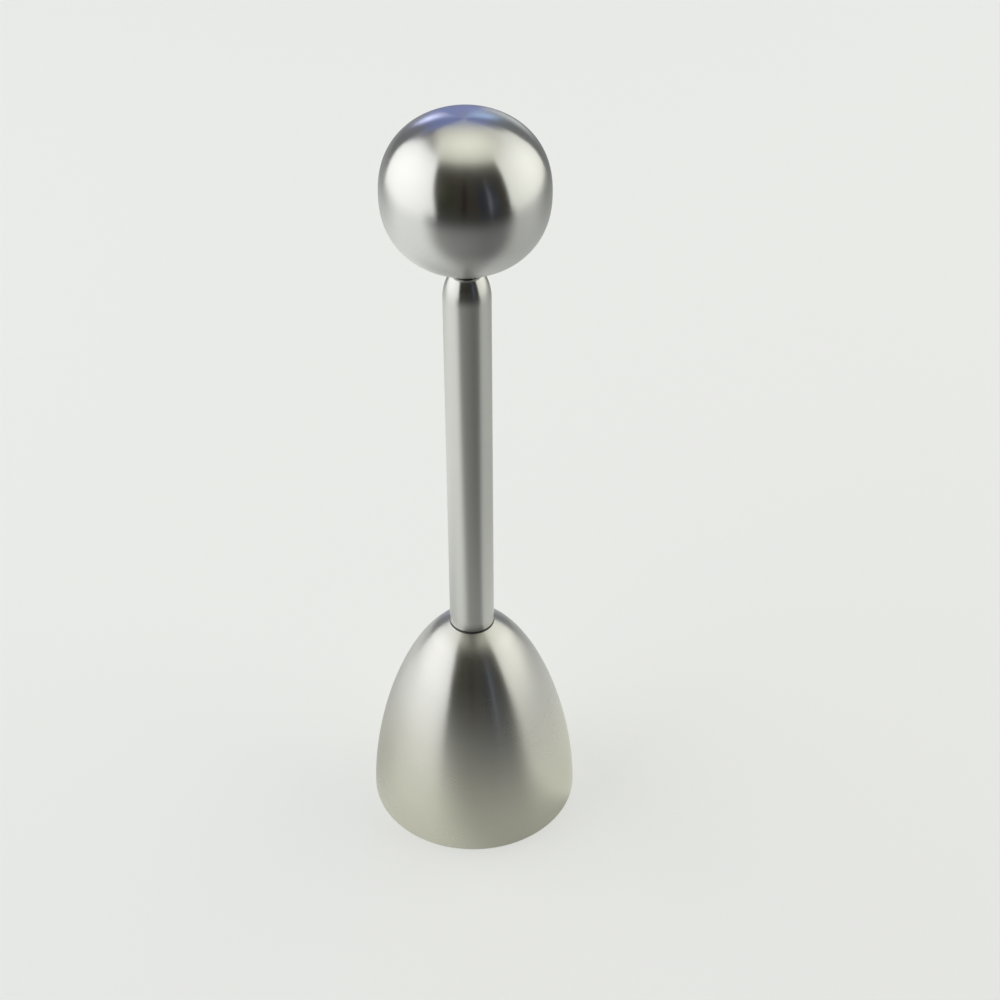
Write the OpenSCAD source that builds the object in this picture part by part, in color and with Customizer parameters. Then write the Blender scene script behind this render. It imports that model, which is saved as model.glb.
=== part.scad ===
// Spring-loaded egg topper: a steel bell, a thin tube standing on its crown, and a ball knob on a
// rod that slides in the tube. Pulled up and let go, the striker on the rod hits the anvil in the
// tube's foot, and the bell's rim cracks the shell. Millimetres, +Z up, origin at the centre of
// the bell's rim.

/* [Bell] */
// Diameter of the rim
bell_d = 38.2; // [32:0.1:50]
// Height from the rim to the flat on the crown
bell_h = 40.9; // [32:0.1:60]
// Thickness of the sheet
bell_wall = 0.9; // [0.6:0.1:1.5]
// Fullness of the dome's sides, where 2 is an ellipse
side_fullness = 1.7; // [1.6:0.02:2.3]
// Fullness of the dome's crown, where 2 is an ellipse
crown_fullness = 1.86; // [1.5:0.02:2]
// Height of the straight ground band inside the rim
land_h = 2; // [1:0.5:4]
// Width of the flat round the tube's foot
ledge_w = 0.1; // [0.1:0.1:1]

/* [Tube] */
// Outer diameter of the tube
tube_d = 8; // [7.4:0.1:11]
// Wall of the tube
tube_wall = 0.6; // [0.4:0.05:0.8]
// Length of the tube
tube_l = 74.4; // [60:0.2:110]
// Radius of the curve that draws the upper end in
neck_arc = 9; // [5:0.5:14]
// Width of the rolled lip round the rod
lip_w = 0.5; // [0.3:0.1:0.6]
// Height of the seal ring under the tube's foot
seal_h = 0.4; // [0.2:0.1:1]
// How far the seal ring lies inside the tube's outer face
seal_inset = 0.2; // [0:0.05:0.3]

/* [Ball] */
// Width of the ball
ball_d = 27.3; // [22:0.1:34]
// Height of the ball
ball_h = 25.6; // [22:0.1:34]
// Fullness of the ball's sides, where 2 is an ellipse
ball_sides = 2.3; // [2:0.02:2.5]
// Fullness of the ball's top and underside, where 2 is an ellipse
ball_ends = 2.18; // [2:0.02:2.5]
// Thickness of the ball's sheet
ball_wall = 0.8; // [0.6:0.1:1.2]
// Gap between the tube's lip and the ball at rest
ball_gap = 2.3; // [0.6:0.05:4]

/* [Rod and its boss] */
// Diameter of the rod
rod_d = 4; // [3:0.1:4.3]
// Wall of the boss where it passes through the ball's lower half
neck_wall = 1; // [0.8:0.1:1.6]
// Wall of the boss inside the ball
boss_wall = 2.5; // [2:0.1:4]
// Length of rod that is screwed into the boss
boss_grip = 7; // [5:0.5:10]
// Metal above the end of the boss's hole
boss_cap = 1.5; // [1:0.5:3]

/* [Striker and spring] */
// Length of the striker
striker_l = 20; // [14:0.5:26]
// Solid metal under the rod's end
striker_face = 4; // [3:0.5:6]
// Chamfer round the striker's hitting face
striker_bevel = 0.5; // [0.2:0.1:1]
// Diameter of the cross pin
pin_d = 1.5; // [1:0.1:2]
// Length of the guide bush
bush_l = 6.5; // [4:0.5:10]
// Thickness of the two spring washers
seat_t = 0.6; // [0.4:0.1:1]
// Wire of the spring
wire_d = 0.7; // [0.5:0.05:0.9]
// Turns of the spring
spring_turns = 12; // [8:1:14]

/* [Anvil and screw] */
// Length of the anvil plug
anvil_l = 8.1; // [7:0.1:14]
// Diameter of the screw
screw_d = 3; // [2.5:0.1:3.5]
// Length of the screw under its head
screw_l = 8; // [6:0.5:9]
// Width of the screw's head
head_d = 5.7; // [5:0.1:6.4]
// Height of the screw's head
head_h = 1.65; // [1.4:0.05:2.4]
// Width across the flats of the screw's socket
socket_w = 2; // [1.5:0.1:2.5]
// Depth of the screw's socket
socket_h = 1; // [0.8:0.1:1.3]
// Thickness of the flat washer
washer_t = 0.5; // [0.3:0.1:1]
// How far the flat washer stops short of the dome's curve
washer_clear = 0.45; // [0.2:0.05:0.6]
// Thickness of the split washer
lock_t = 0.8; // [0.5:0.1:1]
// Width of the split washer's ring
lock_w = 1.45; // [1.2:0.05:1.5]

/* [Clearances] */
// Radial clearance of what slides in the tube or the bush
run_clear = 0.05; // [0.02:0.01:0.1]
// Radial clearance of loose washers and plain holes
loose_clear = 0.15; // [0.1:0.05:0.3]

/* [Hidden] */
$fn = 96;
past = 1; // how far a cut runs past what it cuts
curve_steps = 26; // straight steps along each side of the dome
ball_steps = 20; // straight steps along a quarter of the ball
wire_sides = 8;
turn_steps = 20; // rings of the wire in each turn
closed_turn = 0.75; // part of a turn over which each end of the spring closes up
closed_pitch = 1.25; // rise of a closed turn, in wire diameters

bell_r = bell_d/2;
tube_r = tube_d/2;
bore_r = tube_r - tube_wall;
rod_r = rod_d/2;
screw_r = screw_d/2;

// heights, from the rim up
tube_z = bell_h + seal_h;
tube_top = tube_z + tube_l;
anvil_top = bell_h + anvil_l;
striker_top = anvil_top + striker_l;
rod_z = anvil_top + striker_face;
pin_z = (rod_z + striker_top)/2;
mouth_r = rod_r + loose_clear;
lip_r = mouth_r + lip_w;
neck_z = tube_top - sqrt(pow(neck_arc, 2) - pow(neck_arc - (tube_r - lip_r), 2));
bush_z = neck_z - bush_l;
spring_z = striker_top + seat_t;
spring_top = bush_z - seat_t;
coil_r = (rod_r + bore_r)/2;

// the dome: radius and height both follow powers of the angle t, as on a fuller or leaner ellipse
seat_r = tube_r + ledge_w;
dome_h = bell_h/pow(1 - pow(seat_r/bell_r, crown_fullness), 1/side_fullness);
hollow_h = dome_h - bell_wall;
crown_z = bell_h - bell_wall;
rim_r = bell_r - bell_wall;
land_angle = asin(pow(land_h/hollow_h, side_fullness/2));
crown_angle = asin(pow(crown_z/hollow_h, side_fullness/2));
hollow_r = rim_r/pow(cos(land_angle), 2/crown_fullness);
crown_r = hollow_r*pow(cos(crown_angle), 2/crown_fullness);
seat_angle = acos(pow(seat_r/bell_r, crown_fullness/2));
function dome_curve(r, h, from, to) = [for (i = [0:curve_steps])
    let (t = from + (to - from)*i/curve_steps)
    [r*pow(cos(t), 2/crown_fullness), h*pow(sin(t), 2/side_fullness)]];
function backwards(list) = [for (i = [len(list) - 1:-1:0]) list[i]];

// the screw hangs under the crown on its two washers
washer_r = crown_r - washer_clear;
washer_z = crown_z - washer_t;
lock_z = washer_z - lock_t;
lock_r = screw_r + run_clear + lock_w;

// the ball: its flat underside, where the boss's neck comes out, is ball_gap above the tube
ball_r = ball_d/2;
half_h = ball_h/2;
neck_r = rod_r + neck_wall;
boss_r = rod_r + boss_wall;
under_z = tube_top + ball_gap;
ball_z = under_z + ball_depth(neck_r, 0);
boss_z = ball_z - ball_depth(boss_r, ball_wall);
rod_top = under_z + boss_grip;
function ball_depth(r, wall) =
    (half_h - wall)*pow(1 - pow(r/(ball_r - wall), ball_ends), 1/ball_sides);
function ball_curve(wall, to) = [for (i = [0:ball_steps])
    let (t = to*i/ball_steps)
    [(ball_r - wall)*pow(cos(t), 2/ball_ends), (half_h - wall)*pow(sin(t), 2/ball_sides)]];
function ball_angle(r, wall) = acos(pow(r/(ball_r - wall), ball_ends/2));

module ring(outer_r, inner_r, h) {
    difference() {
        cylinder(r = outer_r, h = h);
        translate([0, 0, -past]) cylinder(r = inner_r, h = h + 2*past);
    }
}

module bell() {
    outside = dome_curve(bell_r, dome_h, 0, seat_angle);
    inside = dome_curve(hollow_r, hollow_h, land_angle, crown_angle);
    hole_r = screw_r + loose_clear;
    color("#b4b5b1") rotate_extrude()
        polygon(concat(outside, [[hole_r, bell_h], [hole_r, crown_z]], backwards(inside), [[rim_r, 0]]));
}

module seal_ring() {
    color("#3a3a38") translate([0, 0, bell_h]) ring(tube_r - seal_inset, bore_r, seal_h);
}

// outline of the tube, or of its bore with the wall taken off
module tube_outline(wall) {
    translate([0, tube_z]) square([tube_r - wall, neck_z - tube_z]);
    intersection() {
        translate([tube_r - neck_arc, neck_z]) circle(r = neck_arc - wall);
        translate([0, neck_z]) square([tube_r, tube_top - neck_z]);
    }
}

module tube() {
    color("#a9aaa6") rotate_extrude() difference() {
        tube_outline(0);
        tube_outline(tube_wall);
        translate([0, tube_z - past]) square([bore_r, 2*past]);
        translate([0, tube_z]) square([mouth_r, tube_l + past]);
    }
}

module guide_bush() {
    color("#b08d57") translate([0, 0, bush_z]) ring(bore_r, rod_r + run_clear, bush_l);
}

module spring_washer(z) {
    color("#8c8f91") translate([0, 0, z]) ring(bore_r - loose_clear, mouth_r, seat_t);
}

module upper_spring_washer() {
    spring_washer(spring_top);
}

module lower_spring_washer() {
    spring_washer(striker_top);
}

// the wire's middle line: the turns close up at both ends, where they lie on the washers
function spring_rise(turn) =
    let (low = min(turn, closed_turn), high = max(0, turn - (spring_turns - closed_turn)),
        open = max(0, min(turn, spring_turns - closed_turn) - closed_turn),
        pitch = closed_pitch*wire_d,
        open_rise = spring_top - spring_z - wire_d - 2*closed_turn*pitch)
    wire_d/2 + (low + high)*pitch + open*open_rise/(spring_turns - 2*closed_turn);
function wire_ring(turn) = [for (s = [0:wire_sides - 1])
    let (a = 360*turn, b = 360*s/wire_sides, r = coil_r + wire_d/2*cos(b))
    [r*cos(a), r*sin(a), spring_z + spring_rise(turn) + wire_d/2*sin(b)]];

module spring() {
    rings = spring_turns*turn_steps;
    points = [for (i = [0:rings]) each wire_ring(i/turn_steps)];
    sides = [for (i = [0:rings - 1], s = [0:wire_sides - 1])
        let (n = (s + 1) % wire_sides, low = i*wire_sides, high = low + wire_sides)
        each [[low + s, high + s, high + n], [low + s, high + n, low + n]]];
    first_end = [for (s = [1:wire_sides - 2]) [0, s, s + 1]];
    last = rings*wire_sides;
    last_end = [for (s = [1:wire_sides - 2]) [last, last + s + 1, last + s]];
    color("#9aa0a4") polyhedron(points, concat(sides, first_end, last_end), convexity = 10);
}

module anvil_plug() {
    thread_l = screw_l - lock_t - washer_t - bell_wall;
    color("#77797a") translate([0, 0, bell_h]) difference() {
        cylinder(r = bore_r, h = anvil_l);
        translate([0, 0, -past]) cylinder(r = screw_r, h = thread_l + 2*past);
    }
}

module flat_washer() {
    color("#a3a6a8") translate([0, 0, washer_z]) ring(washer_r, screw_r + loose_clear, washer_t);
}

module lock_washer() {
    gap_w = lock_t/2;
    gap_tilt = 30;
    color("#7f8385") translate([0, 0, lock_z]) difference() {
        ring(lock_r, screw_r + run_clear, lock_t);
        translate([0, 0, lock_t/2]) rotate([gap_tilt, 0, 0]) translate([0, -gap_w/2, -2*lock_t])
            cube([lock_r + past, gap_w, 4*lock_t]);
    }
}

// a domed head with a six-sided socket, and the shank up through the bell into the anvil plug
module bell_screw() {
    dome_r = (pow(head_d/2, 2) + pow(head_h, 2))/(2*head_h);
    color("#94989a") translate([0, 0, lock_z]) {
        difference() {
            rotate_extrude() intersection() {
                translate([0, dome_r - head_h]) circle(r = dome_r);
                translate([0, -head_h]) square([head_d/2, head_h]);
            }
            translate([0, 0, -head_h - past]) cylinder(d = socket_w/cos(30), h = socket_h + past, $fn = 6);
        }
        cylinder(r = screw_r, h = screw_l);
    }
}

module pin_hole() {
    translate([-tube_r, 0, pin_z]) rotate([0, 90, 0]) cylinder(d = pin_d, h = tube_d);
}

module striker() {
    r = bore_r - run_clear;
    color("#6f7274") difference() {
        rotate_extrude() polygon([[0, anvil_top], [r - striker_bevel, anvil_top],
            [r, anvil_top + striker_bevel], [r, striker_top], [0, striker_top]]);
        translate([0, 0, rod_z]) cylinder(r = rod_r, h = striker_top - rod_z + past);
        pin_hole();
    }
}

module striker_pin() {
    reach = bore_r - loose_clear - run_clear; // stays inside the striker's round side
    color("#8e9193") translate([-reach, 0, pin_z]) rotate([0, 90, 0]) cylinder(d = pin_d, h = 2*reach);
}

module rod() {
    color("#9fa1a0") difference() {
        translate([0, 0, rod_z]) cylinder(r = rod_r, h = rod_top - rod_z);
        pin_hole();
    }
}

module ball_boss() {
    color("#85888a") difference() {
        union() {
            translate([0, 0, under_z]) cylinder(r = neck_r, h = boss_grip);
            translate([0, 0, boss_z]) cylinder(r = boss_r, h = rod_top + boss_cap - boss_z);
        }
        translate([0, 0, under_z - past]) cylinder(r = rod_r, h = boss_grip + past);
    }
}

// half of the ball's sheet above the joint, open round the axis as far as hole_r
module half_shell(hole_r) {
    outside = ball_curve(0, ball_angle(hole_r, 0));
    inside = ball_curve(ball_wall, ball_angle(hole_r, ball_wall));
    rotate_extrude() polygon(concat(outside, backwards(inside)));
}

module ball_lower_shell() {
    color("#acada9") translate([0, 0, ball_z]) mirror([0, 0, 1]) half_shell(neck_r);
}

module ball_upper_shell() {
    color("#b9bab6") translate([0, 0, ball_z]) half_shell(0);
}

bell();
seal_ring();
tube();
guide_bush();
upper_spring_washer();
spring();
anvil_plug();
flat_washer();
lock_washer();
bell_screw();
lower_spring_washer();
striker();
striker_pin();
rod();
ball_boss();
ball_lower_shell();
ball_upper_shell();
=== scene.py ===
import math
import bpy
from mathutils import Matrix, Vector


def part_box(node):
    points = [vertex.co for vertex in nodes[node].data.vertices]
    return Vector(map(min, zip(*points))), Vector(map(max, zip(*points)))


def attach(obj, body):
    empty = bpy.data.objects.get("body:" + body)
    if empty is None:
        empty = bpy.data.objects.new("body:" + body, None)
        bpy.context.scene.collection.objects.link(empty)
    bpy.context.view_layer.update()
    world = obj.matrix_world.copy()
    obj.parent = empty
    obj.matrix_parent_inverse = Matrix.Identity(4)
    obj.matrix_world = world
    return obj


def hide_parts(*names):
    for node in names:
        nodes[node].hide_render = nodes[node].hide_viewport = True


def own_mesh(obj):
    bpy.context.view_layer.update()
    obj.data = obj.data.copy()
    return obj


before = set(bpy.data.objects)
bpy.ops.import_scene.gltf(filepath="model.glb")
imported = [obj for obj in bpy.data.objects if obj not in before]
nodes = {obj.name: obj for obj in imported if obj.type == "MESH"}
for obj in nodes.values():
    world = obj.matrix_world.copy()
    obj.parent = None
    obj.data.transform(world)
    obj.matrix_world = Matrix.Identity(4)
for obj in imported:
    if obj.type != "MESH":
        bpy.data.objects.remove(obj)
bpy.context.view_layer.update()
mm = 0.001
print("frame loaded:", len(nodes), "nodes")


class Socket:
    # one output of a shader node, which can be added, multiplied and so on
    def __init__(self, tree, link):
        self.tree = tree
        self.link = link

    def make(self, kind, settings=None, inputs=None):
        node = self.tree.nodes.new(kind)
        for name, value in (settings or {}).items():
            setattr(node, name, value)
        for name, value in (inputs or {}).items():
            if isinstance(value, Socket):
                self.tree.links.new(value.link, node.inputs[name])
            else:
                node.inputs[name].default_value = value
        return Socket(self.tree, node.outputs[0])

    def out(self, name):
        return Socket(self.tree, self.link.node.outputs[name])

    def maths(self, operation, *others):
        # this value first, and then the others
        return self.make("ShaderNodeMath", {"operation": operation}, dict(enumerate((self, *others))))

    def reflected(self, operation, first):
        return self.make("ShaderNodeMath", {"operation": operation}, {0: first, 1: self})

    def __add__(self, other):
        return self.maths("ADD", other)

    def __sub__(self, other):
        return self.maths("SUBTRACT", other)

    def __mul__(self, other):
        return self.maths("MULTIPLY", other)

    def __truediv__(self, other):
        return self.maths("DIVIDE", other)

    def __radd__(self, other):
        return self.reflected("ADD", other)

    def __rsub__(self, other):
        return self.reflected("SUBTRACT", other)

    def __rmul__(self, other):
        return self.reflected("MULTIPLY", other)

    def __rtruediv__(self, other):
        return self.reflected("DIVIDE", other)

    def mixColour(self, dark, light):
        # dark where this value is 0, light where it is 1; a Mix node's colours are its sockets 6 and 7
        mixed = self.make("ShaderNodeMix", {"data_type": "RGBA"}, {"Factor": self})
        node = mixed.link.node
        for number, value in ((6, dark), (7, light)):
            if isinstance(value, Socket):
                self.tree.links.new(value.link, node.inputs[number])
            else:
                node.inputs[number].default_value = (*value, 1)
        return Socket(self.tree, node.outputs[2])

    def step(self, low, high, start=0.0, end=1.0):
        # a soft step from start to end as this value goes from low to high
        return self.make("ShaderNodeMapRange", {"interpolation_type": "SMOOTHSTEP"},
                         {"Value": self, "From Min": low, "From Max": high,
                          "To Min": start, "To Max": end})


def newMaterial(name):
    material = bpy.data.materials.new(name)
    material.use_nodes = True
    tree = material.node_tree
    shader = tree.nodes["Principled BSDF"]
    return material, Socket(tree, shader.outputs[0]), shader.inputs


def connect(socket, value):
    value.tree.links.new(value.link, socket)


def aroundAxis(root):
    # object coordinates, the distance from the upright axis, and the height
    place = root.make("ShaderNodeTexCoord").out("Object")
    xyz = root.make("ShaderNodeSeparateXYZ", inputs={"Vector": place})
    x, y, z = (xyz.out(name) for name in "XYZ")
    rho = (x * x + y * y).maths("SQRT")
    return place, x, y, z, rho


def steel(name, look):
    # turned or brushed steel: fine lines run round the axis, at even steps along the outline
    material, root, inputs = newMaterial(name)
    place, x, y, z, rho = aroundAxis(root)
    along = look["along"](rho, z)
    away = rho.maths("MAXIMUM", 0.01 * mm)
    lines = []
    for lineWidth, lineLength in zip((look["fineLine"], look["coarseLine"]), look["lineLengths"]):
        grain = root.make("ShaderNodeCombineXYZ", inputs={
            0: x / away / lineLength, 1: y / away / lineLength, 2: along / lineWidth})
        lines.append(root.make("ShaderNodeTexNoise", inputs={
            "Vector": grain, "Scale": 1.0, "Detail": 2.0, "Roughness": 0.6}))
    fine, coarse = lines
    cloud = root.make("ShaderNodeTexNoise", inputs={
        "Vector": place, "Scale": 1 / look["cloudSize"], "Detail": 3.0, "Roughness": 0.55})
    rough = look["roughness"] + (coarse - 0.5) * look["lineRough"] + (cloud - 0.5) * look["cloudRough"]
    if "coarser" in look:
        rough = rough * z.step(*look["coarser"])
    connect(inputs["Roughness"], rough)
    tone = 0.5 + (coarse - 0.5) * look["lineTone"] + (cloud - 0.5) * look["cloudTone"]
    colour = tone.mixColour(look["dark"], look["light"])
    # painted reflection: towards the bottom the colour turns to a second, olive-tinted pair, which paints
    # the warm light that the bell's lower part reflects
    if "reflectionTintDark" in look:
        reflectionTint = tone.mixColour(look["reflectionTintDark"], look["reflectionTintLight"])
        colour = z.step(*look["reflectionTintHeights"]).mixColour(reflectionTint, colour)
    connect(inputs["Base Color"], colour)
    height = fine * look["fineShare"] + coarse
    bump = root.make("ShaderNodeBump", inputs={
        "Strength": look["bump"], "Distance": look["bumpDepth"], "Height": height})
    if "landing" in look:
        inside, outside, rise = look["landing"]
        bump = root.make("ShaderNodeBump", inputs={
            "Strength": 1.0, "Distance": rise, "Height": rho.step(inside, outside), "Normal": bump})
    connect(inputs["Normal"], bump)
    inputs["Metallic"].default_value = 1.0
    inputs["Anisotropic"].default_value = look["anisotropy"]
    inputs["Anisotropic Rotation"].default_value = look["rotation"]
    if look["anisotropy"]:
        connect(inputs["Tangent"], root.make("ShaderNodeTangent", {
            "direction_type": "RADIAL", "axis": "Z"}))
    return material


poleRadius = 0.03 * mm  # the small flat in which a closed outline ends on the axis


def selectNothing():
    bpy.ops.object.select_all(action="DESELECT")


def startPiece(name):
    # the primitive just added, with its place in its mesh, open in edit mode
    piece = bpy.context.object
    piece.name = piece.data.name = name
    bpy.ops.object.transform_apply(location=True, rotation=True, scale=True)
    bpy.ops.object.mode_set(mode="EDIT")
    bpy.ops.mesh.select_all(action="SELECT")
    return piece


def closeMesh():
    bpy.ops.mesh.select_all(action="SELECT")
    bpy.ops.mesh.remove_doubles(threshold=0.001 * mm)
    bpy.ops.mesh.normals_make_consistent(inside=False)
    bpy.ops.object.mode_set(mode="OBJECT")


def turn(name, profile, sides, bevel=0.0):
    # a lathe: the first ring is extruded along the outline, which ends where it began or, if
    # both its ends lie on the axis, in two small flats
    selectNothing()
    onAxis = profile[0][0] <= poleRadius
    radius, height = profile[0]
    bpy.ops.mesh.primitive_circle_add(vertices=sides, radius=radius, location=(0, 0, height),
                                      fill_type="NGON" if onAxis else "NOTHING")
    piece = startPiece(name)
    for nextRadius, nextHeight in profile[1:] + ([] if onAxis else profile[:1]):
        bpy.ops.mesh.extrude_region_move(
            TRANSFORM_OT_translate={"value": (0, 0, nextHeight - height)})
        share = nextRadius / radius
        bpy.ops.transform.resize(value=(share, share, 1), center_override=(0, 0, nextHeight))
        radius, height = nextRadius, nextHeight
    closeMesh()
    if bevel:
        bevelEdges(piece, bevel)
    return piece


def sweep(steps):
    # extrudes the selected section round the axis, by an angle and a rise at each step
    for angle, rise in steps:
        bpy.ops.mesh.extrude_region_move(TRANSFORM_OT_translate={"value": (0, 0, rise)})
        bpy.ops.transform.rotate(value=-angle, orient_axis="Z", center_override=(0, 0, 0))
    closeMesh()


def addModifier(piece, kind, settings, apply=True):
    bpy.context.view_layer.objects.active = piece
    bpy.ops.object.modifier_add(type=kind)
    modifier = piece.modifiers[-1]
    for name, value in settings.items():
        setattr(modifier, name, value)
    if apply:
        bpy.ops.object.modifier_apply(modifier=modifier.name)


def bevelEdges(piece, width, apply=True, harden=False):
    addModifier(piece, "BEVEL", {"width": width, "segments": 3, "limit_method": "ANGLE",
                                 "angle_limit": math.radians(40), "harden_normals": harden}, apply)


def smooth(piece, degrees=30):
    selectNothing()
    piece.select_set(True)
    bpy.context.view_layer.objects.active = piece
    bpy.ops.object.shade_smooth_by_angle(angle=math.radians(degrees))


def finishPiece(piece, body, replaced, material):
    smooth(piece)
    piece.data.materials.clear()
    piece.data.materials.append(material)
    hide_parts(replaced)
    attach(piece, body)
    print("piece", piece.name, len(piece.data.polygons), "faces")


def finishNode(name, material, bevel):
    # a hidden piece that keeps its CAD form, with its edges broken and its own finish; its mesh is
    # loose triangles, so they are welded before the bevel
    node = nodes[name]
    selectNothing()
    smooth(node)
    addModifier(node, "WELD", {"merge_threshold": 0.001 * mm}, apply=False)
    bevelEdges(node, bevel, apply=False, harden=True)
    node.data.materials.clear()
    node.data.materials.append(material)
    print("kept", name)


def ring(outer, inner, low, high):
    return [(outer, low), (outer, high), (inner, high), (inner, low)]


def fullCurve(radius, height, fullness, start, end, steps):
    # an ellipse's quarter, made fuller or leaner by its two powers, from angle start to end
    sideFullness, topFullness = fullness
    curve = []
    for i in range(steps + 1):
        t = start + (end - start) * i / steps
        curve.append((radius * math.cos(t) ** (2 / topFullness),
                      height * math.sin(t) ** (2 / sideFullness)))
    return curve


camera = {
    "sensor": 36,
    "lens": 76.7,
    "clip": (0.01, 20),
    "place": (5.2 * mm, -289.2 * mm, 301.7 * mm),
    "pitch": 38.85,  # degrees down
    "roll": -0.25,
}


def makeCamera(look):
    data = bpy.data.cameras.new("camera")
    data.sensor_width = look["sensor"]
    data.lens = look["lens"]
    data.clip_start, data.clip_end = look["clip"]
    obj = bpy.data.objects.new("camera", data)
    bpy.context.scene.collection.objects.link(obj)
    pitch, roll = math.radians(look["pitch"]), math.radians(look["roll"])
    ahead = Vector((0, math.cos(pitch), -math.sin(pitch)))
    up = Vector((0, math.sin(pitch), math.cos(pitch)))
    right = Vector((1, 0, 0))
    turnedRight = math.cos(roll) * right + math.sin(roll) * up
    turnedUp = math.cos(roll) * up - math.sin(roll) * right
    turned = Matrix((turnedRight, turnedUp, -ahead)).transposed().to_4x4()
    obj.matrix_world = Matrix.Translation(look["place"]) @ turned
    bpy.context.scene.camera = obj


studio = {
    "floorColour": (0.38, 0.384, 0.378),
    "floorCloud": (9.0, 0.6, 0.985),  # scale, contrast and how dark its darkest is
    "floorLift": (0.68, 0.69, 0.675),  # the brightest glow of the floor, in reflections
    "cameraShare": 0.775,  # the camera's share of it
    "floorSize": 6.0,
    # the floor's painted shade, painted shadow and painted glow, which only reflections show, from here to
    # leftFade
    "frontFrom": 0.013,  # how far to the right of the bell's axis the dark front spreads from
    "frontWay": (0.10, -0.995),  # the way that it lies in
    "frontDark": (0.45, 0.78),  # cosines of the angle from that way
    "frontNarrow": (0.16, 0.05, 0.0, 0.16),  # taken off those cosines close to the bell
    "frontFade": (0.015, 0.12, 0.36, 0.71),  # from and to in metres from the bell's axis, share there
    "frontEase": (0.11, 0.19, 1.0, 0.76),  # how much of that is left further out
    "edgeDark": (0.40, 0.68, 0.90),  # cosines as above, and the share beyond the table's edge
    "edgeFade": (0.22, 0.40),
    "rightDark": 0.30,
    "rightSide": (-0.2, 0.6),  # cosines from the way to the right
    "rightFade": (0.03, 0.10),
    "leftGlow": 0.17,
    "leftSide": (0.0, 0.8),  # cosines from the way to the left, and so on below
    "leftFade": (0.02, 0.10),
    "farDark": 0.60,
    "farSide": (0.0, 0.7),
    "farFade": (0.10, 0.34),
    "besideDark": 0.30,
    "besideSides": ((-0.5, 0.3), (-0.2, 0.5)),
    "besideFade": (0.10, 0.04),
    "backdrop": (0.82, 0.83, 0.82),
    "roomColour": (0.042, 0.036, 0.028),
    "roomSize": (1.9, 1.9, 1.15),
    "roomMiddle": (0.0, 0.0, 0.57),
}

# glowing panels: corners in metres, colour, strength at the edges and in the middle of the glow,
# the place of that middle and how far the glow reaches from it
cards = {
    "leftWall": (((-0.44, -0.64, 0), (-0.44, -0.58, 0.12), (-0.44, -0.49, 0.32), (-0.44, -0.34, 0.62),
                  (-0.44, -0.14, 0.92), (-0.44, 0.05, 0.97), (-0.44, 0.45, 0.72), (-0.44, 0.49, 0.62),
                  (-0.44, 0.49, 0.30), (-0.44, 0.32, 0)),
                 (1.0, 1.0, 0.995), (1.25, 1.60), (-0.44, 0.10, 0.32), 0.60),
    "rightWall": (((0.50, -0.22, 0), (0.50, -0.22, 0.025), (0.50, -0.30, 0.07), (0.50, -0.29, 0.32),
                   (0.50, -0.24, 0.52), (0.50, -0.14, 0.80), (0.50, -0.08, 0.90), (0.50, 0.94, 0.90),
                   (0.50, 0.94, 0.68), (0.50, 0.64, 0.42), (0.50, 0.52, 0)),
                  (1.0, 1.0, 0.93), (1.0, 1.42), (0.50, 0.20, 0.30), 0.60),
    "ceiling": (((-0.38, -0.09, 0.90), (-0.10, -0.20, 0.90), (0.14, -0.21, 0.90), (0.34, -0.14, 0.90),
                 (0.50, -0.08, 0.90), (0.50, 0.92, 0.90), (-0.38, 0.92, 0.90)),
                (1.0, 0.99, 0.86), (0.78, 1.28), (0.02, 0.25, 0.90), 0.55),
    "backWall": (((-0.94, 0.94, 0), (-0.94, 0.94, 0.90), (0.94, 0.94, 0.90), (0.94, 0.94, 0)),
                 (0.97, 1.0, 1.0), (0.20, 1.0), (0.20, 0.94, 0.0), 0.36),
    "sky": (((-0.13, 0.90, 0), (-0.52, 0.90, 0.89), (0.26, 0.90, 0.89), (0.03, 0.90, 0)),
            (0.42, 0.50, 1.0), (0.50, 0.66), (0.0, 0.90, 0.30), 0.45),
    "skyLeft": (((-0.34, 0.88, 0.22), (-0.38, 0.88, 0.44), (-0.10, 0.88, 0.46), (-0.14, 0.88, 0.22)),
                (0.64, 0.68, 1.0), (0.8, 2.6), (-0.24, 0.88, 0.33), 0.15),
    "skyRight": (((0.02, 0.88, 0.34), (0.0, 0.88, 0.56), (0.24, 0.88, 0.56), (0.20, 0.88, 0.34)),
                 (0.50, 0.66, 1.0), (0.7, 1.5), (0.11, 0.88, 0.45), 0.14),
    "frontOlive": (((-0.90, -0.93, 0), (-0.90, -0.93, 1.1), (-0.25, -0.93, 1.1), (-0.25, -0.93, 0)),
                   (0.95, 1.0, 0.62), (0.035, 0.075), (-0.75, -0.93, 0.75), 0.5),
    "frontLine": (((-0.05, -0.92, 0), (-0.05, -0.92, 1.1), (0.03, -0.92, 1.1), (0.03, -0.92, 0)),
                  (1.0, 0.7, 0.55), (0.012, 0.012), (0, -0.92, 0.5), 0.5),
    "frontBlue": (((0.30, -0.93, 0), (0.30, -0.93, 1.1), (0.94, -0.93, 1.1), (0.94, -0.93, 0)),
                  (0.66, 0.76, 1.0), (0.040, 0.085), (0.85, -0.93, 0.3), 0.5),
    "frontStreak": (((0.56, -0.92, 0), (0.56, -0.92, 1.1), (0.66, -0.92, 1.1), (0.66, -0.92, 0)),
                    (0.80, 0.86, 1.0), (0.14, 0.24), (0.61, -0.92, 0.35), 0.5),
}


def seenDirectly(root):
    # 1 for what the camera, metal and glass show, 0 for the light that reaches matt surfaces
    path = root.make("ShaderNodeLightPath")
    return (path.out("Is Camera Ray") + path.out("Is Glossy Ray")
            + path.out("Is Transmission Ray")).maths("MINIMUM", 1.0)


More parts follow.
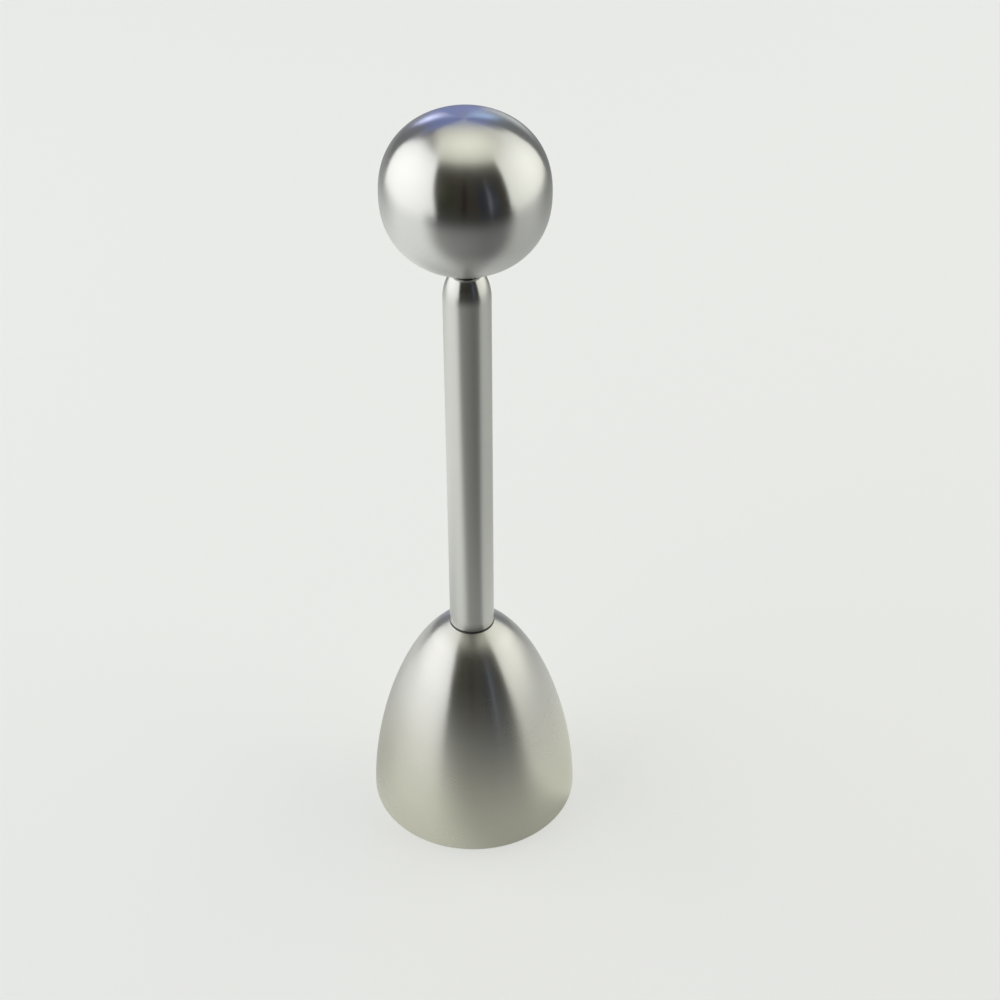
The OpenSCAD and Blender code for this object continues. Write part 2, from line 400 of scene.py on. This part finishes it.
def makeCard(name, corners, colour, strengths, middle, reach):
    # a glowing panel that only light and reflections see
    selectNothing()
    bpy.ops.mesh.primitive_circle_add(vertices=len(corners), fill_type="NGON")
    card = bpy.context.object
    card.name = name
    for vertex, corner in zip(card.data.vertices, corners):
        vertex.co = corner
    material, root, inputs = newMaterial(name)
    place = root.make("ShaderNodeTexCoord").out("Object")
    away = root.make("ShaderNodeVectorMath", {"operation": "DISTANCE"}, {0: place, 1: middle}).out("Value")
    glow = root.make("ShaderNodeEmission", inputs={
        "Color": (*colour, 1), "Strength": away.step(reach, 0, *strengths)})
    connect(root.tree.nodes["Material Output"].inputs["Surface"], glow)
    card.data.materials.append(material)
    card.visible_camera = False
    card.visible_shadow = False


def makeFloor(look):
    selectNothing()
    bpy.ops.mesh.primitive_plane_add(size=look["floorSize"])
    floor = bpy.context.object
    floor.name = "floor"
    material, root, inputs = newMaterial("paleFloor")
    place = root.make("ShaderNodeTexCoord").out("Object")
    cloudScale, contrast, darkest = look["floorCloud"]
    cloud = root.make("ShaderNodeTexNoise", inputs={"Vector": place, "Scale": cloudScale, "Detail": 2.0})
    soft = 0.5 + (cloud - 0.5) * contrast
    darker = tuple(darkest * c for c in look["floorColour"])
    matt = soft.mixColour(darker, look["floorColour"])
    # painted shade and painted light that only reflections show: metal shows the floor darker than it is,
    # as painted shade in front of the bell, on the right and far behind, as the bell's painted shadow
    # close by on the left, and past the table's edge in front; a painted glow makes it brighter on the
    # left
    xyz = root.make("ShaderNodeSeparateXYZ", inputs={"Vector": place})
    x, y = xyz.out("X"), xyz.out("Y")
    nearest = 1 * mm  # keeps the quotients finite on the axis
    away = (x * x + y * y).maths("SQRT").maths("MAXIMUM", nearest)
    across = x - look["frontFrom"]
    ahead = ((across * look["frontWay"][0] + y * look["frontWay"][1])
             / (across * across + y * y).maths("SQRT").maths("MAXIMUM", nearest)
             - away.step(*look["frontNarrow"]))
    front = (ahead.step(*look["frontDark"]) * away.step(*look["frontFade"])
             * away.step(*look["frontEase"]))
    edge = ahead.step(*look["edgeDark"][:2]) * away.step(*look["edgeFade"], 0, look["edgeDark"][2])
    toRight, toLeft, toBack = x / away, -1 * x / away, y / away
    right = toRight.step(*look["rightSide"]) * look["rightDark"] * away.step(*look["rightFade"])
    left = toLeft.step(*look["leftSide"]) * away.step(*look["leftFade"])
    far = toBack.step(*look["farSide"]) * away.step(*look["farFade"])
    besideBack, besideLeft = look["besideSides"]
    besideShadow = toBack.step(*besideBack) * toLeft.step(*besideLeft) * away.step(*look["besideFade"])
    # the floor's painted shade, painted shadow and painted glow, as reflections see it
    paintedShadeAndGlow = ((1 - front) * (1 - edge) * (1 - right)
             * (1 - far * look["farDark"]) * (1 - besideShadow * look["besideDark"])
             * (1 - look["leftGlow"] + left * look["leftGlow"]))
    straight = root.make("ShaderNodeLightPath").out("Is Camera Ray")
    connect(inputs["Base Color"], (straight + (1 - straight) * paintedShadeAndGlow).mixColour((0, 0, 0), matt))
    lift = seenDirectly(root) * (straight * look["cameraShare"] + (1 - straight) * paintedShadeAndGlow)
    connect(inputs["Emission Color"], lift.mixColour((0, 0, 0), look["floorLift"]))
    inputs["Emission Strength"].default_value = 1.0
    inputs["Roughness"].default_value = 0.9
    inputs["Specular IOR Level"].default_value = 0.0
    floor.data.materials.append(material)


def makeRoom(look):
    # the dark room round the panels, which the camera doesn't see
    selectNothing()
    bpy.ops.mesh.primitive_cube_add(size=1, location=look["roomMiddle"])
    room = bpy.context.object
    room.name = "darkRoom"
    room.scale = look["roomSize"]
    material, root, inputs = newMaterial("darkRoom")
    glow = root.make("ShaderNodeEmission", inputs={"Color": (*look["roomColour"], 1), "Strength": 1.0})
    connect(root.tree.nodes["Material Output"].inputs["Surface"], glow)
    room.data.materials.append(material)
    room.visible_camera = False
    room.visible_shadow = False


def makeStudio(look):
    makeFloor(look)
    makeRoom(look)
    for name, card in cards.items():
        makeCard(name, *card)
    world = bpy.data.worlds.new("studio")
    bpy.context.scene.world = world
    world.use_nodes = True
    tree = world.node_tree
    root = Socket(tree, tree.nodes["Background"].outputs[0])
    connect(tree.nodes["Background"].inputs["Color"],
            seenDirectly(root).mixColour(look["roomColour"], look["backdrop"]))


makeCamera(camera)
makeStudio(studio)
bpy.context.scene.view_settings.view_transform = "Standard"
print("camera, floor and light made")


# sizes from the frame
bellLow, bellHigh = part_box("bell")
tubeLow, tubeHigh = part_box("tube")
sealLow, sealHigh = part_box("seal_ring")
rodLow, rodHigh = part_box("rod")
bossLow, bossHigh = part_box("ball_boss")
ballMiddleLow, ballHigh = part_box("ball_upper_shell")
springLow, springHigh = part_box("spring")
screwLow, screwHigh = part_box("bell_screw")
lockLow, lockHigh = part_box("lock_washer")
washerLow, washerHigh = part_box("flat_washer")
ballMiddle = ballMiddleLow.z
ballRadius = ballHigh.x
tubeWall, neckWall = 0.6 * mm, 1.0 * mm
bore = tubeHigh.x - tubeWall
neckRadius = rodHigh.x + neckWall  # the boss's neck, where it goes through the ball
shankRadius = 1.5 * mm
shankHole = 1.65 * mm


def lineAlong(rho, z):
    return z - rho


def ballAlong(rho, z):
    return rho.maths("ARCTAN2", z - ballMiddle) * ballRadius


# what every steel starts from: heights are in metres, "coarser" is heights from and to and the
# shares of the roughness there, and "landing" the radii and the rise of the flatter crown
plainLook = {
    "along": lineAlong, "fineLine": 0.08 * mm, "coarseLine": 0.4 * mm, "cloudSize": 8 * mm,
    "roughness": 0.30, "lineRough": 0.10, "cloudRough": 0.08, "lineTone": 0.8, "cloudTone": 0.8,
    "lineLengths": (1.2, 2.4), "fineShare": 0.6,
    "bump": 0.4, "bumpDepth": 0.004 * mm, "anisotropy": 0.5, "rotation": 0.25,
}
bellSteel = steel("bellSteel", {**plainLook,
    "fineLine": 0.2 * mm, "coarseLine": 0.55 * mm, "cloudSize": 14 * mm, "lineTone": 0.35,
    "roughness": 0.28, "lineRough": 0.015, "cloudRough": 0.05, "anisotropy": 0.85, "bump": 0.02,
    "coarser": (33 * mm, 39 * mm, 1.0, 1.2),  # round the tube's foot
    "landing": (3.2 * mm, 7.8 * mm, 0.85 * mm),  # and shaded flatter there
    "dark": (0.60, 0.60, 0.565), "light": (0.68, 0.68, 0.65),
    # painted reflection: the lower bell is tinted olive
    "reflectionTintDark": (0.61, 0.60, 0.50), "reflectionTintLight": (0.69, 0.68, 0.58), "reflectionTintHeights": (6 * mm, 32 * mm),
})
ballSteel = steel("ballSteel", {**plainLook,
    "along": ballAlong, "fineLine": 0.2 * mm, "coarseLine": 0.6 * mm, "cloudSize": 12 * mm,
    "coarser": (ballMiddle - 8 * mm, ballMiddle + 1 * mm, 1.35, 1.0),  # underneath
    "roughness": 0.225, "lineRough": 0.015, "cloudRough": 0.04, "lineTone": 0.3, "cloudTone": 0.5,
    "dark": (0.60, 0.60, 0.58), "light": (0.66, 0.665, 0.65),
    "bump": 0.03, "bumpDepth": 0.003 * mm, "anisotropy": 0.85,
})
tubeSteel = steel("tubeSteel", {**plainLook,
    "fineLine": 0.10 * mm, "coarseLine": 0.5 * mm, "cloudSize": 10 * mm,
    "roughness": 0.26, "lineRough": 0.04, "cloudRough": 0.04, "lineTone": 0.4, "cloudTone": 0.5,
    "dark": (0.585, 0.585, 0.555), "light": (0.655, 0.66, 0.635),
    "bump": 0.12, "bumpDepth": 0.003 * mm, "anisotropy": 0.82,
})
rodSteel = steel("rodSteel", {**plainLook,
    "fineLine": 0.06 * mm, "coarseLine": 0.3 * mm,
    "roughness": 0.16, "lineRough": 0.04, "cloudRough": 0.03, "lineTone": 0.5, "cloudTone": 0.5,
    "dark": (0.58, 0.58, 0.57), "light": (0.65, 0.65, 0.64),
    "bump": 0.15, "bumpDepth": 0.002 * mm, "anisotropy": 0.4,
})
turnedSteel = steel("turnedSteel", {**plainLook,
    "fineLine": 0.12 * mm, "coarseLine": 0.35 * mm, "roughness": 0.33,
    "dark": (0.42, 0.42, 0.41), "light": (0.52, 0.52, 0.51),
})
strikerSteel = steel("strikerSteel", {**plainLook,
    "fineLine": 0.15 * mm, "roughness": 0.34,
    "dark": (0.38, 0.38, 0.38), "light": (0.48, 0.48, 0.48),
})
washerSteel = steel("washerSteel", {**plainLook,
    "coarseLine": 1.2 * mm, "cloudSize": 2 * mm, "roughness": 0.26, "anisotropy": 0.0,
    "dark": (0.49, 0.50, 0.51), "light": (0.60, 0.61, 0.62),
})
screwSteel = steel("screwSteel", {**plainLook,
    "cloudSize": 3 * mm, "roughness": 0.20, "anisotropy": 0.2,
    "dark": (0.51, 0.52, 0.53), "light": (0.61, 0.62, 0.63),
})
springSteel = steel("springSteel", {**plainLook,
    "cloudSize": 2 * mm, "roughness": 0.28, "anisotropy": 0.0,
    "dark": (0.46, 0.47, 0.48), "light": (0.57, 0.58, 0.59),
})
bushBrass = steel("bushBrass", {**plainLook,
    "roughness": 0.28, "dark": (0.62, 0.47, 0.24), "light": (0.76, 0.59, 0.32),
})


rubberLook = {
    "grainSize": 0.25 * mm, "roughness": 0.42, "grainRough": 0.2,
    "dark": (0.08, 0.08, 0.076), "light": (0.15, 0.15, 0.143),
    "bump": 0.4, "bumpDepth": 0.01 * mm,
}


def rubber(name, look):
    material, root, inputs = newMaterial(name)
    place = root.make("ShaderNodeTexCoord").out("Object")
    grain = root.make("ShaderNodeTexNoise", inputs={
        "Vector": place, "Scale": 1 / look["grainSize"], "Detail": 3.0})
    connect(inputs["Base Color"], grain.mixColour(look["dark"], look["light"]))
    connect(inputs["Roughness"], look["roughness"] + (grain - 0.5) * look["grainRough"])
    bump = root.make("ShaderNodeBump", inputs={
        "Strength": look["bump"], "Distance": look["bumpDepth"], "Height": grain})
    connect(inputs["Normal"], bump)
    return material


sealRubber = rubber("sealRubber", rubberLook)
print("materials made")


bell = {
    "sides": 192,
    "rings": 64,
    "fullness": (1.7, 1.86),  # sides, crown
    "wall": 0.9 * mm,
    "ledge": 0.1 * mm,
    "landHeight": 2.0 * mm,
    "edge": 0.12 * mm,
}


def makeBell(look):
    radius, top = bellHigh.x, bellHigh.z
    side, crown = look["fullness"]
    seat = tubeHigh.x + look["ledge"]
    domeHeight = top / (1 - (seat / radius) ** crown) ** (1 / side)
    hollowHeight = domeHeight - look["wall"]
    ceiling = top - look["wall"]
    rim = radius - look["wall"]
    landAngle = math.asin((look["landHeight"] / hollowHeight) ** (side / 2))
    ceilingAngle = math.asin((ceiling / hollowHeight) ** (side / 2))
    seatAngle = math.acos((seat / radius) ** (crown / 2))
    hollowRadius = rim / math.cos(landAngle) ** (2 / crown)
    outside = fullCurve(radius, domeHeight, look["fullness"], 0, seatAngle, look["rings"])
    inside = fullCurve(hollowRadius, hollowHeight, look["fullness"], landAngle, ceilingAngle,
                       look["rings"] * 2 // 3)
    profile = outside + [(shankHole, top), (shankHole, ceiling)] + inside[::-1] + [(rim, 0)]
    piece = turn("bellDome", profile, look["sides"], look["edge"])
    finishPiece(piece, "housing", "bell", bellSteel)


makeBell(bell)


seal = {"sides": 128, "edge": 0.12 * mm}


def makeSeal(look):
    profile = ring(sealHigh.x, bore, sealLow.z, sealHigh.z)
    piece = turn("sealRing", profile, look["sides"], look["edge"])
    finishPiece(piece, "housing", "seal_ring", sealRubber)


makeSeal(seal)


tube = {
    "sides": 128,
    "neckArc": 9.0 * mm,
    "lipRadius": 2.65 * mm,
    "lipRound": 0.5 * mm,
    "lipRings": 8,
    "neckRings": 16,
    "bodyRings": 24,
    "edge": 0.14 * mm,
}


def makeTube(look):
    radius, foot, top = tubeHigh.x, tubeLow.z, tubeHigh.z
    arc, rings = look["neckArc"], look["neckRings"]
    reach = math.acos((arc - (radius - look["lipRadius"])) / arc)
    neckHeight = top - arc * math.sin(reach)

    def neck(arcRadius, angle):
        return (radius - arc + arcRadius * math.cos(angle), neckHeight + arcRadius * math.sin(angle))

    def lip(i):
        angle = turnIn + (math.pi / 2 - turnIn) * i / look["lipRings"]
        return lipMiddle[0] + lipRound * math.cos(angle), lipMiddle[1] + lipRound * math.sin(angle)

    body = [(radius, foot + (neckHeight - foot) * i / look["bodyRings"])
            for i in range(look["bodyRings"])]
    # the lip's rounding carries on from the neck's arc
    lipRound = look["lipRound"]
    turnIn = math.asin((arc * math.sin(reach) - lipRound) / (arc - lipRound))
    lipMiddle = neck(arc - lipRound, turnIn)
    outside = ([neck(arc, turnIn * i / rings) for i in range(rings + 1)]
               + [lip(i) for i in range(1, look["lipRings"] + 1)])
    inside = [neck(arc - (radius - bore), reach * i / rings) for i in range(rings, -1, -1)]
    piece = turn("steelTube", body + outside + inside + [(bore, foot)], look["sides"], look["edge"])
    finishPiece(piece, "housing", "tube", tubeSteel)


makeTube(tube)


ball = {
    "sides": 192,
    "rings": 56,
    "fullness": (2.3, 2.18),  # sides, ends
    "wall": 0.8 * mm,
    "seamRing": 0.004,  # radians: a ring close to the joint keeps its shading level
}


def halfBall(look, wall, holeRadius):
    radius, height = ballRadius - wall, ballHigh.z - ballMiddle - wall
    end = math.acos((holeRadius / radius) ** (look["fullness"][1] / 2))
    curve = fullCurve(radius, height, look["fullness"], 0, end, look["rings"])
    curve.insert(1, fullCurve(radius, height, look["fullness"], look["seamRing"], end, 1)[0])
    return curve


def makeBall(look):
    outer = halfBall(look, 0, poleRadius)
    inner = halfBall(look, look["wall"], poleRadius)
    profile = [(r, ballMiddle + h) for r, h in outer[::-1] + inner]
    piece = turn("ballUpperHalf", profile, look["sides"])
    finishPiece(piece, "plunger", "ball_upper_shell", ballSteel)
    outer = halfBall(look, 0, neckRadius)
    inner = halfBall(look, look["wall"], neckRadius)
    profile = [(r, ballMiddle - h) for r, h in outer + inner[::-1]]
    piece = turn("ballLowerHalf", profile, look["sides"])
    finishPiece(piece, "plunger", "ball_lower_shell", ballSteel)


makeBall(ball)


rod = {"sides": 96, "chamfer": 0.3 * mm}


def makeRod(look):
    radius, low, high, cut = rodHigh.x, rodLow.z, rodHigh.z, look["chamfer"]
    profile = [(poleRadius, low), (radius - cut, low), (radius, low + cut),
               (radius, high - cut), (radius - cut, high), (poleRadius, high)]
    piece = turn("slidingRod", profile, look["sides"])
    finishPiece(piece, "plunger", "rod", rodSteel)


boss = {"sides": 96, "edge": 0.15 * mm}


def makeBoss(look):
    wall = ball["wall"]
    side, end = ball["fullness"]
    share = (bossHigh.x / (ballRadius - wall)) ** end
    shoulder = ballMiddle - (ballHigh.z - ballMiddle - wall) * (1 - share) ** (1 / side)
    profile = [(poleRadius, rodHigh.z), (rodHigh.x, rodHigh.z), (rodHigh.x, bossLow.z),
               (neckRadius, bossLow.z), (neckRadius, shoulder), (bossHigh.x, shoulder),
               (bossHigh.x, bossHigh.z), (poleRadius, bossHigh.z)]
    piece = turn("ballBoss", profile, look["sides"], look["edge"])
    finishPiece(piece, "plunger", "ball_boss", turnedSteel)


makeRod(rod)
makeBoss(boss)


spring = {
    "wire": 0.7 * mm,
    "wireSides": 12,
    "turns": 12,
    "turnSteps": 24,
    "closedTurn": 0.75,  # part of a turn over which each end closes up
    "closedPitch": 1.25,  # rise of a closed turn, in wire diameters
    "pulled": 0.416,  # height left when the ball is pulled right up
}


def makeSpring(look):
    wire, turns, steps = look["wire"], look["turns"], look["turnSteps"]
    coilRadius = (rodHigh.x + bore) / 2
    closedRise = look["closedPitch"] * wire
    openTurns = turns - 2 * look["closedTurn"]
    openRise = (springHigh.z - springLow.z - wire - 2 * look["closedTurn"] * closedRise) / openTurns
    selectNothing()
    bpy.ops.mesh.primitive_circle_add(
        vertices=look["wireSides"], radius=wire / 2, fill_type="NGON",
        location=(coilRadius, 0, springLow.z + wire / 2), rotation=(math.pi / 2, 0, 0))
    piece = startPiece("plungerSpring")
    walk = []
    for i in range(turns * steps):
        middle = (i + 0.5) / steps
        closed = middle < look["closedTurn"] or middle > turns - look["closedTurn"]
        walk.append((2 * math.pi / steps, (closedRise if closed else openRise) / steps))
    sweep(walk)
    finishPiece(piece, "housing", "spring", springSteel)
    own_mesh(piece)


makeSpring(spring)


screw = {"sides": 96, "domeRings": 14, "chamfer": 0.25 * mm, "socketWidth": 2.0 * mm,
         "socketDepth": 1.0 * mm, "edge": 0.08 * mm}


def makeScrew(look):
    low, seat, top = screwLow.z, lockLow.z, screwHigh.z
    head, height, cut = screwHigh.x, seat - low, look["chamfer"]
    domeRadius = (head ** 2 + height ** 2) / (2 * height)
    end = math.asin(head / domeRadius)
    start = math.asin(poleRadius / domeRadius)
    dome = []
    for i in range(look["domeRings"] + 1):
        angle = start + (end - start) * i / look["domeRings"]
        dome.append((domeRadius * math.sin(angle), low + domeRadius * (1 - math.cos(angle))))
    profile = dome + [(shankRadius, seat), (shankRadius, top - cut), (shankRadius - cut, top),
                      (poleRadius, top)]
    piece = turn("bellScrew", profile, look["sides"])
    selectNothing()
    bpy.ops.mesh.primitive_cylinder_add(
        vertices=6, radius=look["socketWidth"] / math.sqrt(3), depth=2 * look["socketDepth"],
        location=(0, 0, low))
    cutter = bpy.context.object
    addModifier(piece, "BOOLEAN", {"operation": "DIFFERENCE", "object": cutter})
    bpy.data.objects.remove(cutter)
    bevelEdges(piece, look["edge"])
    finishPiece(piece, "housing", "bell_screw", screwSteel)


washers = {"sides": 96, "edge": 0.08 * mm, "shankGap": 0.05 * mm, "splitWidth": 0.4 * mm,
           "splitSteps": 48}


def makeWashers(look):
    profile = ring(washerHigh.x, shankHole, washerLow.z, washerHigh.z)
    piece = turn("flatWasher", profile, look["sides"], look["edge"])
    finishPiece(piece, "housing", "flat_washer", washerSteel)
    inner, outer = shankRadius + look["shankGap"], lockHigh.x
    middle = (inner + outer) / 2
    gap = look["splitWidth"] / middle
    selectNothing()
    bpy.ops.mesh.primitive_plane_add(
        size=1, location=(middle, 0, (lockLow.z + lockHigh.z) / 2), rotation=(math.pi / 2, 0, 0))
    bpy.context.object.scale = (outer - inner, lockHigh.z - lockLow.z, 1)
    piece = startPiece("lockWasher")
    bpy.ops.transform.rotate(value=-gap / 2, orient_axis="Z", center_override=(0, 0, 0))
    sweep([((2 * math.pi - gap) / look["splitSteps"], 0.0)] * look["splitSteps"])
    bevelEdges(piece, look["edge"])
    finishPiece(piece, "housing", "lock_washer", washerSteel)


makeScrew(screw)
makeWashers(washers)


# hidden pieces that keep their CAD form
finishNode("guide_bush", bushBrass, 0.12 * mm)
finishNode("upper_spring_washer", washerSteel, 0.06 * mm)
finishNode("lower_spring_washer", washerSteel, 0.06 * mm)
finishNode("anvil_plug", turnedSteel, 0.15 * mm)
finishNode("striker", strikerSteel, 0.12 * mm)
finishNode("striker_pin", strikerSteel, 0.10 * mm)
